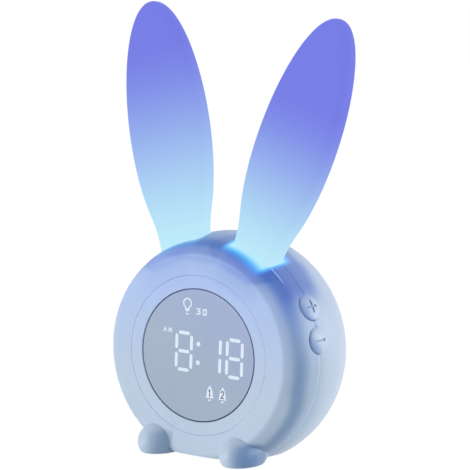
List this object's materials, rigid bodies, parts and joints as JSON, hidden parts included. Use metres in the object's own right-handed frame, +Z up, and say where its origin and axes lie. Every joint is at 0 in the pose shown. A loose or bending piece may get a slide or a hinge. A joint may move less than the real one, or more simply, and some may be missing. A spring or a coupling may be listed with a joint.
{
  "type": "children's alarm clock",
  "caption": "Round children's alarm clock with tall glowing rabbit ears, a mirror-look digital display, small paw feet and side keys.",
  "frame": {"origin": "on the table under the parting plane of the two case halves, in the middle from side to side, on the face of the base pad", "axes": "+Z up, +Y towards the back, +X towards the right of someone who looks at the display"},
  "size_m": [0.1118, 0.0778, 0.1894],
  "materials": {
    "case_plastic": "satin moulded plastic",
    "ring_plastic": "smooth moulded plastic",
    "mirror_lens": "half-silvered display window",
    "key_plastic": "satin moulded plastic",
    "ear_silicone": "soft translucent silicone, lit from inside",
    "black_plastic": "black moulded plastic",
    "light_guide": "milky light guide",
    "circuit_board": "lacquered circuit board",
    "inner_plastic": "natural moulded plastic",
    "screw_steel": "zinc-plated steel",
    "speaker_steel": "black painted steel",
    "magnet_iron": "sintered magnet",
    "cone_paper": "coated paper cone",
    "foam": "closed-cell foam",
    "battery_film": "shrink film over the cell",
    "touch_copper": "bare copper",
    "pad_rubber": "soft foot pad",
    "lead_insulation": "insulated lead"
  },
  "bodies": {
    "root": {"base_pad": "pad_rubber", "battery": "battery_film", "battery_cradle": "inner_plastic", "battery_lead": "lead_insulation", "battery_pad": "foam", "board_parts": "black_plastic", "case_screws": "screw_steel", "digit_guides": "light_guide", "digit_plate": "black_plastic", "display_board": "circuit_board", "display_lead": "lead_insulation", "display_lens": "mirror_lens", "display_screws": "screw_steel", "ear_clamp_screws": "screw_steel", "face_ring": "ring_plastic", "foot_pads": "pad_rubber", "front_shell": "case_plastic", "key_switches": "black_plastic", "left_ear": "ear_silicone", "left_ear_clamp": "inner_plastic", "left_ear_lead": "lead_insulation", "left_ear_light_board": "circuit_board", "left_ear_lights": "light_guide", "left_key_board": "circuit_board", "left_key_lead": "lead_insulation", "main_board": "circuit_board", "main_screws": "screw_steel", "rear_shell": "case_plastic", "right_ear": "ear_silicone", "right_ear_clamp": "inner_plastic", "right_ear_lead": "lead_insulation", "right_ear_light_board": "circuit_board", "right_ear_lights": "light_guide", "right_key_board": "circuit_board", "right_key_lead": "lead_insulation", "speaker_cone": "cone_paper", "speaker_frame": "speaker_steel", "speaker_gasket": "foam", "speaker_lead": "lead_insulation", "speaker_magnet": "magnet_iron", "speaker_screws": "screw_steel", "touch_lead": "lead_insulation", "touch_plate": "touch_copper", "usb_board": "circuit_board", "usb_lead": "lead_insulation", "usb_screws": "screw_steel", "usb_socket": "screw_steel"},
    "plus_key": {"plus_button": "key_plastic", "plus_switch_stem": "black_plastic"},
    "minus_key": {"minus_button": "key_plastic", "minus_switch_stem": "black_plastic"},
    "mode_key": {"mode_button": "key_plastic", "mode_switch_stem": "black_plastic"},
    "alarm_key": {"alarm_button": "key_plastic", "alarm_switch_stem": "black_plastic"}
  },
  "joints": [
    {"name": "plus_press", "type": "slide", "parent": "root", "child": "plus_key", "axis": [-0.8722, 0.1065, -0.4775], "range_m": [0, 0.0006], "stiffness_N_per_m": 500},
    {"name": "minus_press", "type": "slide", "parent": "root", "child": "minus_key", "axis": [-0.9719, 0.1065, -0.2101], "range_m": [0, 0.0006], "stiffness_N_per_m": 500},
    {"name": "mode_press", "type": "slide", "parent": "root", "child": "mode_key", "axis": [0.8722, 0.1065, -0.4775], "range_m": [0, 0.0006], "stiffness_N_per_m": 500},
    {"name": "alarm_press", "type": "slide", "parent": "root", "child": "alarm_key", "axis": [0.9719, 0.1065, -0.2101], "range_m": [0, 0.0006], "stiffness_N_per_m": 500}
  ]
}
